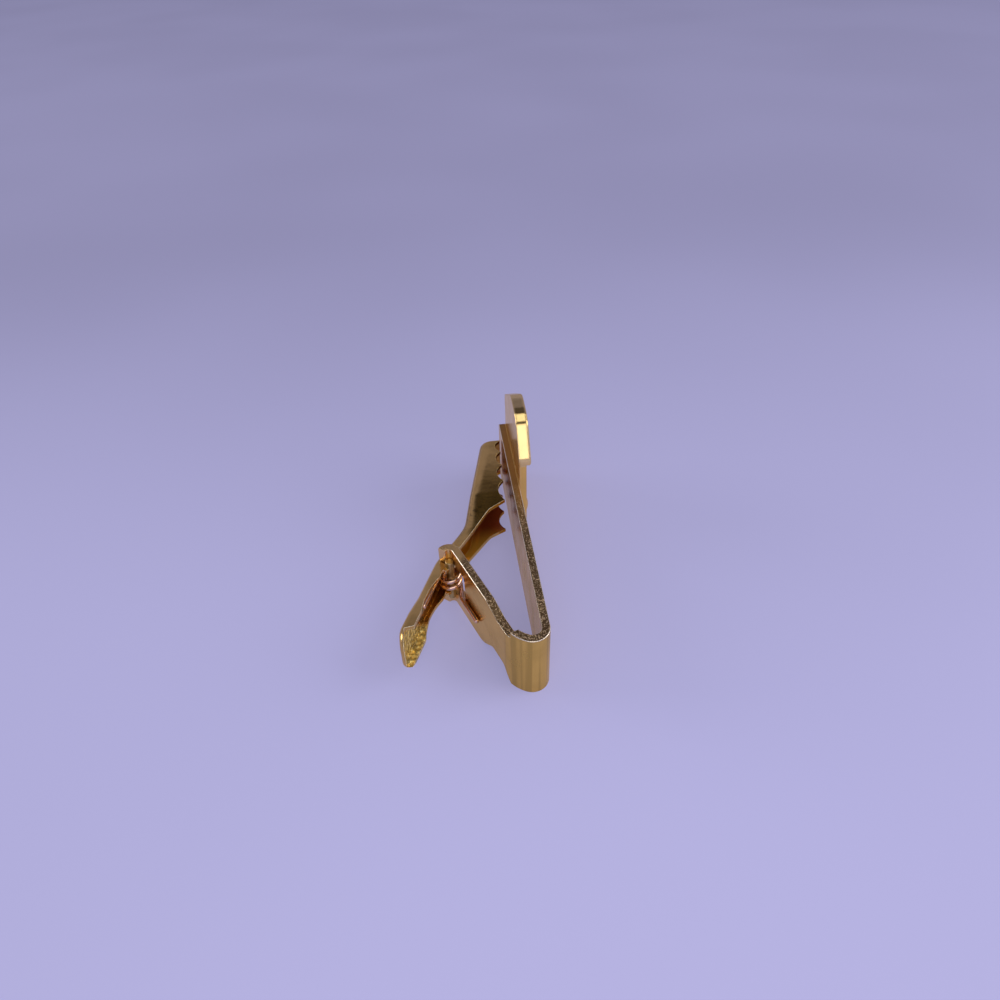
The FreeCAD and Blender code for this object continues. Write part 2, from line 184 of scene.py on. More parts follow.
def colour_setting(name, description, default):
    return bpy.props.FloatVectorProperty(
        name=name, description=description, default=default, subtype="COLOR", size=3, min=0, max=1)


class ClipSpring(bpy.types.PropertyGroup):
    """Sizes of the wound wire."""

    wire_diameter: size_setting("Wire diameter", "Thickness of the spring wire", 0.52)
    coil_radius: size_setting("Coil radius", "From the pin's axis to the middle of the wire", 0.89)
    coil_pitch: size_setting("Coil pitch", "Rise of the coil in one turn", 0.84)
    whole_turns: bpy.props.IntProperty(
        name="Whole turns", description="Full turns between the two arms", default=2)
    leg_arm_length: size_setting("Leg arm", "How far down the leg its arm reaches", 5.4)
    leg_seat: size_setting("Leg seat", "From the pin's axis to the arm that lies on the leg", 0.15)
    knee_reach: size_setting("Knee reach", "How far down the leg its arm bends on to the leg", 2.15)
    tail_arm_length: size_setting("Tail arm", "Straight arm that rests in the tail", 5.0)
    tail_seat: size_setting("Tail seat", "From the pin's axis to the end of the arm in the tail", 0.92)
    leg_splay: angle_setting("Leg splay", "Angle of the leg from the bar", LEG_SPLAY)
    tail_splay: angle_setting("Tail splay", "Angle of the jaw's tail from the bar", math.radians(23.7))


class ClipFinish(bpy.types.PropertyGroup):
    """Colours and polish of the plated metal."""

    strip_gold: colour_setting("Strip gold", "Polished face of the folded strip", (0.80, 0.51, 0.12))
    jaw_gold: colour_setting("Jaw gold", "Face of the stamped jaw", (0.76, 0.48, 0.14))
    ornament_gold: colour_setting("Ornament gold", "Face of the cast ornament", (0.95, 0.69, 0.29))
    # Painted shade: the lower tier is painted a deeper gold than the pad
    plaque_gold: colour_setting("Plaque gold", "Deeper gold of the ornament's lower tier", (0.98, 0.62, 0.16))
    spring_copper: colour_setting("Spring copper", "Face of the spring wire", (0.95, 0.63, 0.46))
    pin_gold: colour_setting("Pin gold", "Face of the hinge pin", (0.52, 0.38, 0.16))
    edge_brown: colour_setting("Cut edge brown", "Darkened cut edges of the strip", (0.18, 0.11, 0.05))
    edge_speck: colour_setting("Cut edge specks", "Bright grains in the cut edges", (0.95, 0.70, 0.38))
    edge_gold: colour_setting("Cut edge gold", "Cleaner cut edge towards the open end", (0.46, 0.25, 0.08))
    # Painted light: the hooks are painted paler, lifting the shade in their hollow
    hook_gold: colour_setting("Hook gold", "Paler gold painted round the hooks as light", (0.85, 0.56, 0.24))
    # Painted highlight: a pale cream painted along the rims, in place of a bright line of light
    rim_gold: colour_setting("Rim gold", "Bright highlight painted along the rims", (0.97, 0.86, 0.64))
    # Painted light and shade: amber for the light that bounces in the channel, red for the shade behind the
    # teeth
    channel_amber: colour_setting("Channel amber", "Amber bounce light painted inside the jaw's channel", (0.72, 0.40, 0.06))
    teeth_red: colour_setting("Teeth red", "Darkened channel behind the teeth", (0.30, 0.06, 0.02))
    tab_gold: colour_setting("Tab gold", "Pebbled inside of the thumb tab", (1.0, 0.74, 0.24))
    roughness: bpy.props.FloatProperty(
        name="Polish", description="Roughness of the polished faces", default=0.2, min=0, max=1)


class ClipStage(bpy.types.PropertyGroup):
    """Floor, ceiling and camera."""

    floor_colour: colour_setting("Floor", "Pale surface under the clip", (0.43, 0.415, 0.69))
    ceiling_colour: colour_setting("Ceiling", "Dark overhead that level faces mirror", (0.042, 0.036, 0.034))
    lens: bpy.props.FloatProperty(
        name="Lens", description="Focal length on a 36 mm square frame", default=26.28, unit="CAMERA")
    camera_place: bpy.props.FloatVectorProperty(
        name="Camera place", description="Where the camera stands",
        default=(-7.69 * MM, -39.82 * MM, 57.67 * MM), subtype="TRANSLATION", size=3)
    camera_pitch: angle_setting("Camera pitch", "How far the camera looks down", math.radians(41.3))
    camera_yaw: angle_setting("Camera yaw", "Turn of the camera to the left", math.radians(-5.8))
    camera_roll: angle_setting("Camera roll", "Tilt of the camera", math.radians(-1.93))


class NodeBench:
    """Short hand for building a node tree."""

    def __init__(self, tree):
        self.tree = tree
        tree.nodes.clear()

    def add(self, kind, settings=None, **inputs):
        """A node with its settings, and each named input set to a value or joined to a socket."""
        node = self.tree.nodes.new(kind)
        for name, value in (settings or {}).items():
            setattr(node, name, value)
        for name, value in inputs.items():
            self.feed(node, name.replace("_", " "), value)
        return node

    def feed(self, node, name, value):
        """Sets an input, given by its name or number, to a value or joins it to a socket."""
        socket = node.inputs[int(name)] if name.isdigit() else node.inputs[name]
        if isinstance(value, bpy.types.NodeSocket):
            self.tree.links.new(value, socket)
        else:
            socket.default_value = value

    def maths(self, operation, *values, clamp=False):
        node = self.add("ShaderNodeMath", {"operation": operation, "use_clamp": clamp})
        for number, value in enumerate(values):
            self.feed(node, str(number), value)
        return node.outputs[0]

    def plus(self, first, second, clamp=False):
        return self.maths("ADD", first, second, clamp=clamp)

    def less(self, first, second, clamp=False):
        return self.maths("SUBTRACT", first, second, clamp=clamp)

    def times(self, first, second, clamp=False):
        return self.maths("MULTIPLY", first, second, clamp=clamp)

    def measure(self, operation, first, second):
        """A number from two vectors, such as their dot product or the distance between them."""
        node = self.add("ShaderNodeVectorMath", {"operation": operation})
        self.feed(node, "0", first)
        self.feed(node, "1", second)
        return node.outputs["Value"]

    def ramp(self, value, start, full):
        """Climbs smoothly from 0 at start to 1 at full."""
        node = self.add("ShaderNodeMapRange", {"interpolation_type": "SMOOTHSTEP"}, Value=value)
        node.inputs["From Min"].default_value = start
        node.inputs["From Max"].default_value = full
        return node.outputs["Result"]

    def mix(self, factor, first, second):
        """The first colour where the factor is 0, and the second where it is 1."""
        node = self.add("ShaderNodeMix", {"data_type": "RGBA"})
        self.feed(node, "0", factor)
        for number, value in zip(MIX_COLOURS, (first, second)):
            is_socket = isinstance(value, bpy.types.NodeSocket)
            self.feed(node, str(number), value if is_socket else (*value[:3], 1))
        return node.outputs[MIX_RESULT]


def new_group(name, inputs, outputs):
    """An empty shader node group, with its inputs and outputs given as labels and kinds of socket."""
    tree = bpy.data.node_groups.new(name, "ShaderNodeTree")
    for way, sockets in (("INPUT", inputs), ("OUTPUT", outputs)):
        for label, kind in sockets.items():
            tree.interface.new_socket(label, in_out=way, socket_type=kind)
    bench = NodeBench(tree)
    return bench, bench.add("NodeGroupInput").outputs, bench.add("NodeGroupOutput")


def plating_group():
    """Soft mottling, fine dents and dull specks of a plated face, with scales per millimetre."""
    number, vector = "NodeSocketFloat", "NodeSocketVector"
    bench, given, made = new_group(
        "Plated face",
        {"Vector": vector, "Mottle Scale": number, "Dent Scale": number, "Speck Scale": number},
        {"Mottle": number, "Dents": number, "Specks": number})
    scaled = bench.add("ShaderNodeVectorMath", {"operation": "SCALE"}, Vector=given["Vector"], Scale=PER_MM)
    place = scaled.outputs["Vector"]
    mottle = bench.add(
        "ShaderNodeTexNoise", Vector=place, Scale=given["Mottle Scale"], Detail=3.0, Roughness=0.5)
    dents = bench.add(
        "ShaderNodeTexNoise", Vector=place, Scale=given["Dent Scale"], Detail=2.0, Roughness=0.45)
    specks = bench.add(
        "ShaderNodeTexNoise", Vector=place, Scale=given["Speck Scale"], Detail=4.0, Roughness=0.65)
    bench.feed(made, "Mottle", bench.ramp(mottle.outputs["Fac"], *MOTTLE_NOISE))
    bench.feed(made, "Dents", dents.outputs["Fac"])
    bench.feed(made, "Specks", bench.ramp(specks.outputs["Fac"], *SPECK_NOISE))
    return bench.tree


def cut_edge_group():
    """Edge is 1 on the level cut edges of upright sheet metal, and Rim on the corners that lead to them.

    A cut edge that slopes along the Way of the strip counts as an edge and not as a corner.
    """
    number, vector = "NodeSocketFloat", "NodeSocketVector"
    bench, given, made = new_group(
        "Cut edge", {"Normal": vector, "Way": vector}, {"Edge": number, "Rim": number})
    lift = bench.maths("ABSOLUTE", bench.add("ShaderNodeSeparateXYZ", Vector=given["Normal"]).outputs["Z"])
    slope = bench.maths("ABSOLUTE", bench.measure("DOT_PRODUCT", given["Normal"], given["Way"]))
    level = bench.ramp(slope, *LEVEL_SLOPE)
    sloped = bench.times(bench.less(1.0, level), bench.ramp(lift, *SLOPED_EDGE_LIFT))
    rim = bench.times(bench.ramp(lift, *CORNER_LIFT), bench.ramp(lift, *CORNER_END_LIFT))
    bench.feed(made, "Edge", bench.maths("MAXIMUM", bench.ramp(lift, *EDGE_LIFT), sloped))
    bench.feed(made, "Rim", bench.times(rim, level))
    return bench.tree


def worn_rim_group():
    """1 on a rim, where the eased normal turns away from the face's own, and 0 on the faces."""
    number, vector = "NodeSocketFloat", "NodeSocketVector"
    bench, given, made = new_group("Rim highlight", {"Eased": vector, "Face": vector}, {"Rim": number})
    agree = bench.measure("DOT_PRODUCT", given["Eased"], given["Face"])
    bench.feed(made, "Rim", bench.ramp(agree, *RIM_AGREEMENT))
    return bench.tree


def shared(name, maker):
    """A node group that is built once."""
    return bpy.data.node_groups.get(name) or maker()


class MetalBench(NodeBench):
    """A material's tree with its shader, coordinates and plating ready."""

    def __init__(self, name, mottle_scale, dent_scale, speck_scale):
        self.material = bpy.data.materials.new(name)
        self.material.use_nodes = True
        super().__init__(self.material.node_tree)
        self.shader = self.add("ShaderNodeBsdfPrincipled", Metallic=1.0, Specular_Tint=GRAZING_TINT)
        self.add("ShaderNodeOutputMaterial", Surface=self.shader.outputs["BSDF"])
        self.coordinates = self.add("ShaderNodeTexCoord").outputs
        self.place = self.add("ShaderNodeSeparateXYZ", Vector=self.coordinates["Object"]).outputs
        plating = self.add(
            "ShaderNodeGroup", {"node_tree": shared("Plated face", plating_group)},
            Vector=self.coordinates["Object"], Mottle_Scale=mottle_scale, Dent_Scale=dent_scale,
            Speck_Scale=speck_scale)
        self.mottle = plating.outputs["Mottle"]
        self.dents = plating.outputs["Dents"]
        self.specks = plating.outputs["Specks"]

    def edge(self, way):
        """Masks of the cut edges and of their corners, on a strip that runs a given way."""
        group = self.add(
            "ShaderNodeGroup", {"node_tree": shared("Cut edge", cut_edge_group)},
            Normal=self.coordinates["Normal"], Way=way)
        return group.outputs["Edge"], group.outputs["Rim"]

    def rims(self, radius=RIM_RADIUS):
        """The normal eased round sharp corners, and 1 where it turns away from the face's own."""
        eased = self.add("ShaderNodeBevel", {"samples": 6}, Radius=radius).outputs["Normal"]
        rim_highlight = self.add(
            "ShaderNodeGroup", {"node_tree": shared("Rim highlight", worn_rim_group)},
            Eased=eased, Face=self.add("ShaderNodeNewGeometry").outputs["Normal"])
        return eased, rim_highlight.outputs["Rim"]

    def roughness(self, polish, mottled):
        """A polish that is duller by the mottled amount where the face is mottled."""
        return self.plus(self.times(self.mottle, mottled), polish)

    def finish(self, colour, roughness, height, eased, depth):
        """Joins colour, roughness and a bump of a depth in metres, over the eased normal, to the shader."""
        self.feed(self.shader, "Base Color", colour)
        self.feed(self.shader, "Roughness", roughness)
        bump = self.add("ShaderNodeBump", Strength=1.0, Distance=depth, Height=height, Normal=eased)
        self.feed(self.shader, "Normal", bump.outputs["Normal"])
        return self.material


def darker(colour, share):
    return tuple(channel * share for channel in colour)


def strip_metal(finish):
    """Polished gold strip, rippled at its fold with painted dark streaks of reflection, painted paler at its
    hooks as light, with darkened, grainy cut edges.
    """
    bench = MetalBench("Polished gold strip", mottle_scale=0.35, dent_scale=1.2, speck_scale=9.0)
    on_leg = bench.ramp(bench.place["X"], *LEG_SIDE_X)
    leg_way = bench.add("ShaderNodeVectorMath", {"operation": "SCALE"}, Vector=LEG_WAY, Scale=on_leg)
    edge, corner = bench.edge(leg_way.outputs["Vector"])
    eased, rim_highlight = bench.rims()
    level = bench.add("ShaderNodeMapping", Vector=bench.coordinates["Object"], Scale=(1.0, 1.0, 0.0))
    from_hinge = bench.measure("DISTANCE", level.outputs["Vector"], (*joint_place()[:2], 0.0))

    stretch = bench.add("ShaderNodeMapping", Vector=bench.coordinates["Object"], Scale=RIPPLE_STRETCH)
    ripple = bench.add(
        "ShaderNodeTexNoise", Vector=stretch.outputs["Vector"], Scale=1.6, Detail=1.0).outputs["Fac"]
    fold = bench.ramp(bench.place["Y"], *FOLD_Y)
    face = bench.mix(bench.mottle, finish.strip_gold, darker(finish.strip_gold, share=0.86))
    # Painted light: the face near the hooks is painted paler, to lift the shade in the hooks' hollow
    face = bench.mix(bench.ramp(from_hinge, *HOOK_FACE_REACH), face, finish.hook_gold)
    # Painted reflection: dark streaks are painted into the fold's colour, on the same ripple noise that bumps
    # it
    painted_reflection_streaks = bench.times(bench.ramp(ripple, *RIPPLE_NOISE), fold)
    face = bench.mix(painted_reflection_streaks, face, darker(finish.strip_gold, share=0.72))

    clean = bench.ramp(bench.place["Y"], *CLEAN_EDGE_Y)
    crowded_specks = bench.times(bench.specks, GRAIN_CROWDING, clamp=True)
    grains = bench.times(crowded_specks, bench.less(1.0, clean))
    cut = bench.mix(clean, finish.edge_brown, finish.edge_gold)
    cut = bench.mix(grains, cut, finish.edge_speck)
    # Painted light: the cut edges at the hooks take a darker copy of that painted-light gold
    cap = bench.ramp(from_hinge, *HOOK_CAP_REACH)
    cut = bench.mix(cap, cut, darker(finish.hook_gold, share=0.75))

    # Painted highlight: the rims and the corners of the cut edges are painted in the pale rim colour
    rim = bench.maths("MAXIMUM", rim_highlight, corner)
    metal = bench.mix(rim, bench.mix(edge, face, cut), finish.rim_gold)
    rough = bench.plus(bench.times(edge, EDGE_ROUGHNESS), bench.roughness(finish.roughness, mottled=0.08))
    grain_bump = bench.times(bench.times(grains, edge), GRAIN_HEIGHT)
    ripple_bump = bench.times(bench.times(ripple, fold), RIPPLE_HEIGHT)
    height = bench.plus(bench.plus(bench.dents, grain_bump), ripple_bump)
    return bench.finish(metal, rough, height, eased, depth=0.012 * MM)


class JawZones:
    """How far inward a point of the jaw lies, and masks that are 1 on the places that look different."""

    def __init__(self, bench):
        along, high = bench.place["Y"], bench.place["Z"]
        facing = bench.add("ShaderNodeSeparateXYZ", Vector=bench.coordinates["Normal"]).outputs
        self.inward = bench.measure("DOT_PRODUCT", bench.coordinates["Object"], JAW_INWARD)
        self.teeth = bench.ramp(along, *TEETH_START_Y)
        shoulder = bench.times(bench.ramp(along, *SHOULDER_START_Y), bench.ramp(along, *SHOULDER_END_Y))
        self.shoulder = bench.times(shoulder, bench.ramp(facing["Z"], *SHOULDER_UPWARD))
        # Painted reflection: the shoulder's dark mask, strongest towards the web
        self.tarnish = bench.times(self.shoulder, bench.ramp(self.inward, *DARK_REFLECTION_INWARD))
        self.low_flange = bench.times(
            bench.ramp(facing["Z"], *LOW_FLANGE_UPWARD), bench.ramp(high, *LOW_FLANGE_Z))
        self.channel = bench.times(self.low_flange, bench.ramp(along, *CHANNEL_START_Y))
        slant = bench.plus(along, bench.times(high, TAB_LEAN))
        tab = bench.times(bench.ramp(slant, *TAB_SLANT), bench.ramp(high, *TAB_TOP_Z))
        self.tab = bench.times(tab, bench.ramp(facing["X"], *TAB_BARWARD))
        hollow = bench.times(bench.ramp(facing["X"], *HOLLOW_BARWARD), bench.ramp(high, *HOLLOW_FLOOR_Z))
        self.hollow = bench.times(hollow, bench.ramp(high, *HOLLOW_ROOF_Z))


def jaw_relief(bench, zones):
    """The jaw's slight relief, in heights of its bump.

    It is reach slope tanh((y - middle) / reach), less a rise that stops at the neck's end and less a
    parabola beside the web.
    """
    along = bench.place["Y"]
    wave = bench.maths("TANH", bench.times(bench.less(along, BOW_MIDDLE_Y), 1 / BOW_REACH))
    bow = bench.times(wave, BOW_SLOPE * BOW_REACH / JAW_BUMP)
    neck = bench.maths("SMOOTH_MIN", along, NECK_END_Y, NECK_EASE)
    dip = bench.times(neck, NECK_SLOPE / JAW_BUMP)
    near_web = bench.less(ROLL_START_INWARD, zones.inward, clamp=True)
    roll = bench.times(bench.maths("POWER", near_web, 2.0), ROLL_CURVE / JAW_BUMP)
    return bench.less(bench.less(bow, dip), bench.times(roll, bench.ramp(along, *ROLL_START_Y)))


def jaw_metal(finish):
    """Stamped gold sheet with a painted dark reflection at its shoulder, dull in its channel with painted
    bounce light and shade, and pebbled inside the thumb tab.
    """
    bench = MetalBench("Stamped gold sheet", mottle_scale=0.5, dent_scale=1.5, speck_scale=4.0)
    zones = JawZones(bench)
    eased, rim_highlight = bench.rims()
    pebble = bench.add(
        "ShaderNodeTexVoronoi", {"feature": "SMOOTH_F1"}, Vector=bench.coordinates["Object"],
        Scale=PEBBLE_SCALE, Smoothness=0.35).outputs["Distance"]

    face = bench.mix(bench.mottle, finish.jaw_gold, darker(finish.jaw_gold, share=0.85))
    # Painted reflection: the shoulder is painted darker towards the web, where the flange mirrors something
    # dark
    face = bench.mix(bench.times(zones.tarnish, DARK_REFLECTION_SHARE), face, darker(finish.jaw_gold, share=0.3))
    # The dark specks on the shoulder are partly a speck texture and partly painted dark reflection
    specks = bench.times(bench.specks, zones.shoulder)
    face = bench.mix(specks, face, darker(finish.jaw_gold, share=0.25))
    # Painted light and shade: the channel is painted amber for its bounced light, and red behind the teeth
    # for shade
    face = bench.mix(zones.channel, face, bench.mix(zones.teeth, finish.channel_amber, finish.teeth_red))
    # Painted shade: the pits of the pebbled tab are painted darker
    pit_shade = bench.ramp(pebble, *PEBBLE_PITS)
    face = bench.mix(zones.tab, face, bench.mix(pit_shade, finish.tab_gold, darker(finish.tab_gold, share=0.5)))
    # Painted highlight: open rims are painted pale and made less metallic, so that they show a bright line
    open_rim_highlight = bench.less(rim_highlight, bench.plus(zones.hollow, zones.low_flange), clamp=True)
    metal = bench.mix(open_rim_highlight, face, finish.rim_gold)

    dull = bench.plus(bench.times(zones.channel, CHANNEL_DULLNESS), bench.times(zones.tab, TAB_DULLNESS))
    dull = bench.plus(dull, bench.times(open_rim_highlight, RIM_HIGHLIGHT_DULLNESS), clamp=True)
    bench.feed(bench.shader, "Metallic", bench.less(1.0, dull))
    pebble_bump = bench.times(bench.times(pebble, zones.tab), PEBBLE_HEIGHT)
    height = bench.plus(bench.plus(bench.dents, pebble_bump), jaw_relief(bench, zones))
    rough = bench.roughness(finish.roughness - EXTRA_POLISH, mottled=0.08)
    return bench.finish(metal, rough, height, eased, depth=JAW_BUMP)


def ornament_metal(finish):
    """Cast gold, brightly polished, with a deeper gold painted as shade on its lower tier, and with the soft
    dents of a casting.
    """
    bench = MetalBench("Cast gold", mottle_scale=0.4, dent_scale=1.0, speck_scale=4.0)
    # Painted shade: the plaque's lower tier, below the pad, is painted a deeper gold
    lower_tier = bench.times(
        bench.ramp(bench.place["Z"], *BELOW_PAD_Z), bench.ramp(bench.place["X"], *PLAQUE_FRONT_X))
    tier = bench.mix(lower_tier, finish.ornament_gold, finish.plaque_gold)
    face = bench.mix(bench.times(bench.mottle, ORNAMENT_MOTTLE), tier, BLACK)
    eased, _ = bench.rims(radius=0.3 * MM)
    rough = bench.roughness(finish.roughness, mottled=0.04)
    return bench.finish(face, rough, bench.dents, eased, depth=0.02 * MM)


def pin_metal(finish):
    """Drawn pin wire, with dull specks."""
    bench = MetalBench("Drawn pin", mottle_scale=0.8, dent_scale=3.0, speck_scale=6.0)
    face = bench.mix(bench.specks, finish.pin_gold, darker(finish.pin_gold, share=0.5))
    eased, _ = bench.rims()
    rough = bench.roughness(polish=0.3, mottled=0.1)
    return bench.finish(face, rough, bench.dents, eased, depth=0.006 * MM)


def spring_metal(finish):
    """Copper-coloured spring wire."""
    bench = MetalBench("Copper spring wire", mottle_scale=1.0, dent_scale=3.0, speck_scale=8.0)
    face = bench.mix(bench.mottle, finish.spring_copper, darker(finish.spring_copper, share=0.6))
    eased, _ = bench.rims()
    rough = bench.roughness(polish=0.12, mottled=0.08)
    return bench.finish(face, rough, bench.dents, eased, depth=0.004 * MM)


def wear(node, material):
    """Puts one material on a CAD node."""
    mesh = frame["nodes"][node].data
    mesh.materials.clear()
    mesh.materials.append(material)


def joint_place():
    """The hinge's place in the part's frame, from the record."""
    return np.array(frame["record"]["behaviour"]["joints"][0]["pos_m"])


def eased_climb(travel, ease):
    """A climb from 0 to 1 at an even rate, with a parabola at each end that starts and stops it level."""
    starting = travel ** 2 / (2 * ease)
    stopping = 1 - ease - (1 - travel) ** 2 / (2 * ease)
    even = travel - ease / 2
    climb = np.where(travel < ease, starting, np.where(travel > 1 - ease, stopping, even))
    return climb / (1 - ease)


def spring_line(sizes):
    """Points along the wire: the leg arm with its knee, the coil and the tail arm.

    The coil is centre + r (cos a, sin a) with a rising evenly with travel, and its height follows
    eased_climb. Both arms are tangents of the coil, each on its own side. The knee is a parabola between two
    tangents.
    """
    centre = joint_place()
    radius = sizes.coil_radius
    leg_lean = math.asin(radius / math.hypot(sizes.knee_reach, sizes.leg_seat))
    leg_lean -= math.atan(sizes.leg_seat / sizes.knee_reach)
    tail_lean = math.asin(sizes.tail_seat / math.hypot(radius, sizes.tail_arm_length))
    tail_lean -= math.atan(radius / sizes.tail_arm_length)
    start = sizes.leg_splay - leg_lean
    sweep = (math.pi - sizes.tail_splay - tail_lean - start) % (2 * math.pi) + 2 * math.pi * sizes.whole_turns
    travel = np.linspace(0, 1, COIL_POINTS)
    turn = start + sweep * travel
    rise = sizes.coil_pitch * sweep / (2 * math.pi)
    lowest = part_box("torsion_spring")[0][2] + sizes.wire_diameter / 2
    height = lowest + rise * eased_climb(travel, COIL_EASE)
    coil = np.column_stack([centre[0] + radius * np.cos(turn), centre[1] + radius * np.sin(turn), height])
    way = np.column_stack([-np.sin(turn), np.cos(turn), np.zeros(COIL_POINTS)])
    down = np.array([math.sin(sizes.leg_splay), -math.cos(sizes.leg_splay), 0])
    inward = np.array([math.cos(sizes.leg_splay), math.sin(sizes.leg_splay), 0])
    seat = np.array([centre[0], centre[1], height[0]]) + inward * sizes.leg_seat
    knee = seat + down * sizes.knee_reach
    bend = np.linspace(0, 1, KNEE_POINTS)[:, None]
    knee_curve = ((1 - bend) ** 2 * (knee + down * KNEE_CUT) + 2 * bend * (1 - bend) * knee
                  + bend ** 2 * (knee + way[0] * KNEE_CUT))
    run = np.linspace(0, 1, ARM_POINTS, endpoint=False)[:, None]
    leg_end = seat + down * sizes.leg_arm_length
    leg_arm = leg_end + (knee_curve[0] - leg_end) * run
    leg_rise = knee_curve[-1] + (coil[0] - knee_curve[-1]) * run[1:]
    tail_arm = coil[-1] + way[-1] * sizes.tail_arm_length * (run + run[1])
    return np.vstack([leg_arm, knee_curve, leg_rise, coil, tail_arm])


def tube(points, radius, sides):
    """A round tube with rounded ends: point + radius (cos t side + sin t up), with side level across it."""
    way = np.gradient(points, axis=0)
    way /= np.linalg.norm(way, axis=1, keepdims=True)
    side = np.column_stack([-way[:, 1], way[:, 0], np.zeros(len(way))])
    side /= np.linalg.norm(side, axis=1, keepdims=True)
    up = np.cross(way, side)
    bulge = np.linspace(0, math.pi / 2, END_RINGS + 1)[1:]
    end_radii = radius * np.cos(bulge) + radius * END_TIP
    end_shift = END_BULGE * radius * np.sin(bulge)
    radii = np.concatenate([end_radii[::-1], np.full(len(points), radius), end_radii])
    shift = np.concatenate([-end_shift[::-1], np.zeros(len(points)), end_shift])
    last = len(points) - 1
    index = np.concatenate([np.zeros(END_RINGS, int), np.arange(len(points)), np.full(END_RINGS, last)])
    turn = np.linspace(0, 2 * math.pi, sides, endpoint=False)
    rings = (points[index][:, None] + way[index][:, None] * shift[:, None, None]
             + radii[:, None, None] * (np.cos(turn)[None, :, None] * side[index][:, None]
                                       + np.sin(turn)[None, :, None] * up[index][:, None]))
    row, column = np.meshgrid(np.arange(len(index) - 1), np.arange(sides), indexing="ij")
    onward = (column + 1) % sides
    quads = np.stack([row * sides + column, row * sides + onward, (row + 1) * sides + onward,
                      (row + 1) * sides + column], axis=-1).reshape(-1, 4)
    ends = [list(range(sides))[::-1], list(range((len(index) - 1) * sides, len(index) * sides))]
    return rings.reshape(-1, 3), quads.tolist() + ends


def add_mesh(name, vertices, faces, material):
    """A smooth object at the origin, with its place in its mesh."""
    mesh = bpy.data.meshes.new(name)
    mesh.from_pydata(vertices.tolist(), [], faces)
    mesh.polygons.foreach_set("use_smooth", np.ones(len(mesh.polygons), dtype=bool))
    mesh.materials.append(material)
    mesh.update()
    piece = bpy.data.objects.new(name, mesh)
    bpy.context.scene.collection.objects.link(piece)
    return piece


def placed(right, up, ahead, place):
    """A matrix that stands a lamp or a camera at a place, looking ahead."""
    return Matrix([(right[i], up[i], -ahead[i], place[i]) for i in range(3)] + [(0, 0, 0, 1)])


class CLIP_OT_metal(bpy.types.Operator):
    """Gives the bar, jaw, pin and ornament their plated finishes"""

    bl_idname = "clip.metal"
    bl_label = "Plate the metal"

    def execute(self, context):
        finish = context.scene.clip_finish
        wear("folded_bar", strip_metal(finish))
        wear("alligator_jaw", jaw_metal(finish))
        wear("hinge_pin", pin_metal(finish))
        wear("ornament", ornament_metal(finish))
        return {"FINISHED"}


class CLIP_OT_spring(bpy.types.Operator):
    """Winds the torsion spring round the hinge pin"""

    bl_idname = "clip.spring"
    bl_label = "Wind the spring"

    def execute(self, context):
        sizes = context.scene.clip_spring
        vertices, faces = tube(spring_line(sizes), sizes.wire_diameter / 2, WIRE_SIDES)
        spring = add_mesh("spring_wire", vertices, faces, spring_metal(context.scene.clip_finish))
        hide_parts("torsion_spring")
        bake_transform(spring)
        return {"FINISHED"}


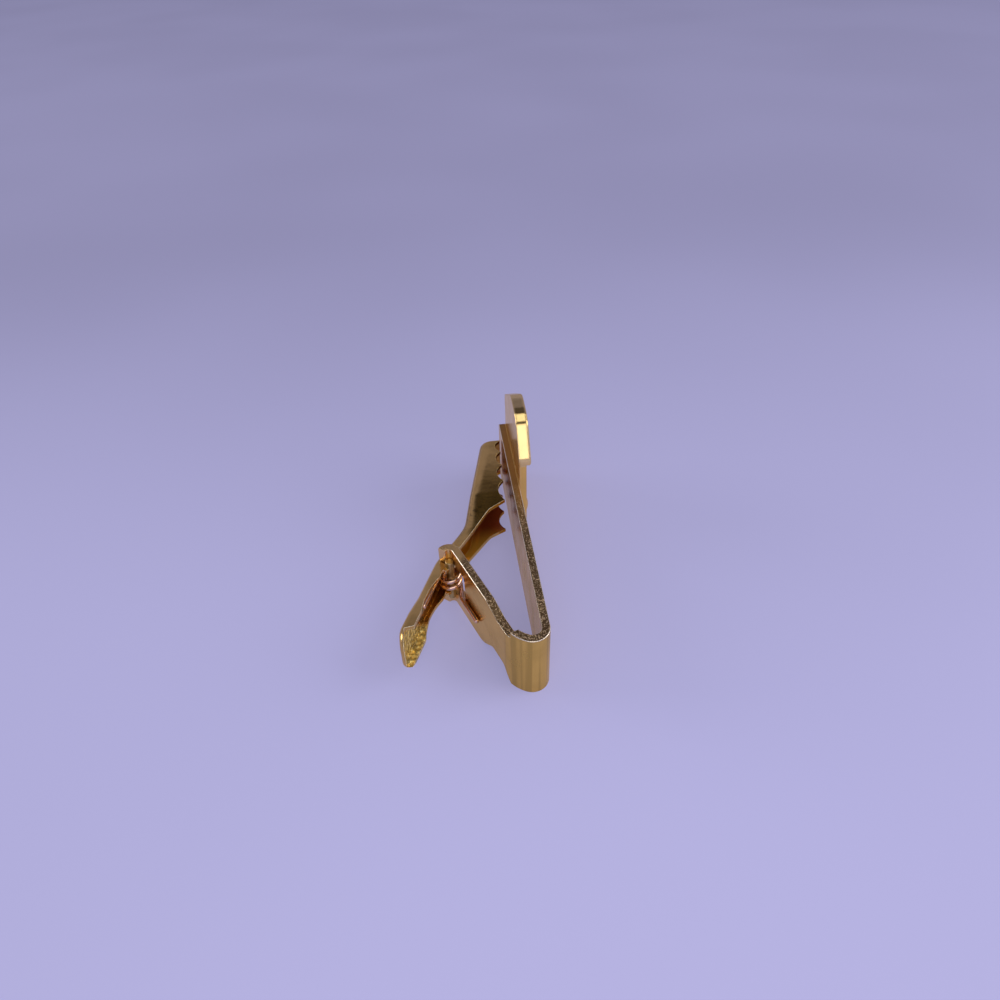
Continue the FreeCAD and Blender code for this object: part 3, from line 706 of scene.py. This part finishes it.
class CLIP_OT_stage(bpy.types.Operator):
    """Sets out the floor, the lamps and the camera"""

    bl_idname = "clip.stage"
    bl_label = "Set the stage"

    def execute(self, context):
        stage = context.scene.clip_stage
        self.floor(stage)
        self.sky(stage)
        for name, (place, width, power, tint) in LAMPS.items():
            self.lamp(name, place, width, power, tint)
        self.camera(stage)
        context.scene.view_settings.view_transform = "Standard"
        return {"FINISHED"}

    def floor(self, stage):
        """A wide level square in soft clouds of one colour, painted a little darker far away as light that
        falls off, and glowing a little, which lifts its shadows.
        """
        corners = FLOOR_HALF_WIDTH * np.array([(-1, -1, 0), (1, -1, 0), (1, 1, 0), (-1, 1, 0)])
        material = bpy.data.materials.new("Pale lilac surface")
        material.use_nodes = True
        bench = NodeBench(material.node_tree)
        place = bench.add("ShaderNodeTexCoord").outputs["Object"]
        cloud = bench.add("ShaderNodeTexNoise", Vector=place, Scale=14.0, Detail=1.0)
        soft = bench.ramp(cloud.outputs["Fac"], *FLOOR_CLOUD_NOISE)
        # Painted light: the floor is painted darker far away, as light that falls off
        away = bench.ramp(bench.add("ShaderNodeSeparateXYZ", Vector=place).outputs["Y"], *FLOOR_FAR_Y)
        near = bench.mix(soft, darker(stage.floor_colour, share=0.96), stage.floor_colour)
        far = bench.mix(soft, darker(stage.floor_colour, share=0.62), darker(stage.floor_colour, share=0.65))
        surface = bench.mix(away, near, far)
        shader = bench.add(
            "ShaderNodeBsdfPrincipled", Base_Color=bench.mix(FLOOR_BLACKENING, surface, BLACK),
            Roughness=0.9, Specular_IOR_Level=0.1, Emission_Color=surface, Emission_Strength=0.56)
        bench.add("ShaderNodeOutputMaterial", Surface=shader.outputs["BSDF"])
        floor = add_mesh("floor", corners, [[0, 1, 2, 3]], material)

    def sky(self, stage):
        """Plain light all round. The camera and the metal see a darker floor colour and a dark ceiling."""
        world = bpy.data.worlds.new("Plain light")
        world.use_nodes = True
        bench = NodeBench(world.node_tree)
        path = bench.add("ShaderNodeLightPath").outputs
        seen = bench.plus(path["Is Camera Ray"], path["Is Glossy Ray"])
        seen = bench.plus(seen, path["Is Transmission Ray"], clamp=True)
        look = bench.add("ShaderNodeTexCoord").outputs["Generated"]
        upward = bench.add("ShaderNodeSeparateXYZ", Vector=look).outputs["Z"]
        overhead = bench.ramp(upward, *CEILING_UPWARD)
        horizon = darker(stage.floor_colour, share=0.68)
        light = bench.mix(seen, ROOM_LIGHT, bench.mix(overhead, horizon, stage.ceiling_colour))
        background = bench.add("ShaderNodeBackground", Color=light, Strength=1.0)
        bench.add("ShaderNodeOutputWorld", Surface=background.outputs["Background"])
        bpy.context.scene.world = world

    def lamp(self, name, place, width, power, tint):
        """A square soft lamp turned towards the clip."""
        data = bpy.data.lights.new(name, "AREA")
        data.size = width
        data.energy = power
        data.color = tint
        item = bpy.data.objects.new(name, data)
        ahead = np.subtract(LAMP_AIM, place)
        ahead /= np.linalg.norm(ahead)
        right = np.cross(ahead, (0, 0, 1))
        right /= np.linalg.norm(right)
        item.matrix_world = placed(right, np.cross(right, ahead), ahead, place)
        bpy.context.scene.collection.objects.link(item)

    def camera(self, stage):
        """A camera at the place from which the clip is seen, turned by its yaw, pitch and roll."""
        data = bpy.data.cameras.new("Photo camera")
        data.lens = stage.lens
        data.sensor_width = FRAME_WIDTH
        data.clip_start = NEAREST
        camera = bpy.data.objects.new("Photo camera", data)
        pitch, yaw, roll = stage.camera_pitch, stage.camera_yaw, stage.camera_roll
        level = np.array([math.cos(yaw), math.sin(yaw), 0])
        forward = np.array([-math.sin(yaw), math.cos(yaw), 0])
        ahead = math.cos(pitch) * forward - math.sin(pitch) * np.array([0, 0, 1])
        upright = np.cross(level, ahead)
        right = math.cos(roll) * level + math.sin(roll) * upright
        up = math.cos(roll) * upright - math.sin(roll) * level
        camera.matrix_world = placed(right, up, ahead, stage.camera_place)
        bpy.context.scene.collection.objects.link(camera)
        bpy.context.scene.camera = camera


class CLIP_PT_panel(bpy.types.Panel):
    """Lists the clip's steps and settings"""

    bl_idname = "CLIP_PT_panel"
    bl_label = "Tie clip"
    bl_space_type = "VIEW_3D"
    bl_region_type = "UI"
    bl_category = "Tie clip"

    def draw(self, context):
        for step in (CLIP_OT_metal, CLIP_OT_spring, CLIP_OT_stage):
            self.layout.operator(step.bl_idname)
        for settings in (context.scene.clip_spring, context.scene.clip_finish, context.scene.clip_stage):
            box = self.layout.box()
            for name in settings.bl_rna.properties.keys():
                if name not in ("rna_type", "name"):
                    box.prop(settings, name)


CLASSES = (ClipSpring, ClipFinish, ClipStage, CLIP_OT_metal, CLIP_OT_spring, CLIP_OT_stage, CLIP_PT_panel)


def register():
    for item in CLASSES:
        bpy.utils.register_class(item)
    bpy.types.Scene.clip_spring = bpy.props.PointerProperty(type=ClipSpring)
    bpy.types.Scene.clip_finish = bpy.props.PointerProperty(type=ClipFinish)
    bpy.types.Scene.clip_stage = bpy.props.PointerProperty(type=ClipStage)


def unregister():
    del bpy.types.Scene.clip_stage
    del bpy.types.Scene.clip_finish
    del bpy.types.Scene.clip_spring
    for item in reversed(CLASSES):
        bpy.utils.unregister_class(item)


def main():
    register()
    bpy.ops.clip.metal()
    bpy.ops.clip.spring()
    bpy.ops.clip.stage()


if __name__ == "__main__":
    main()
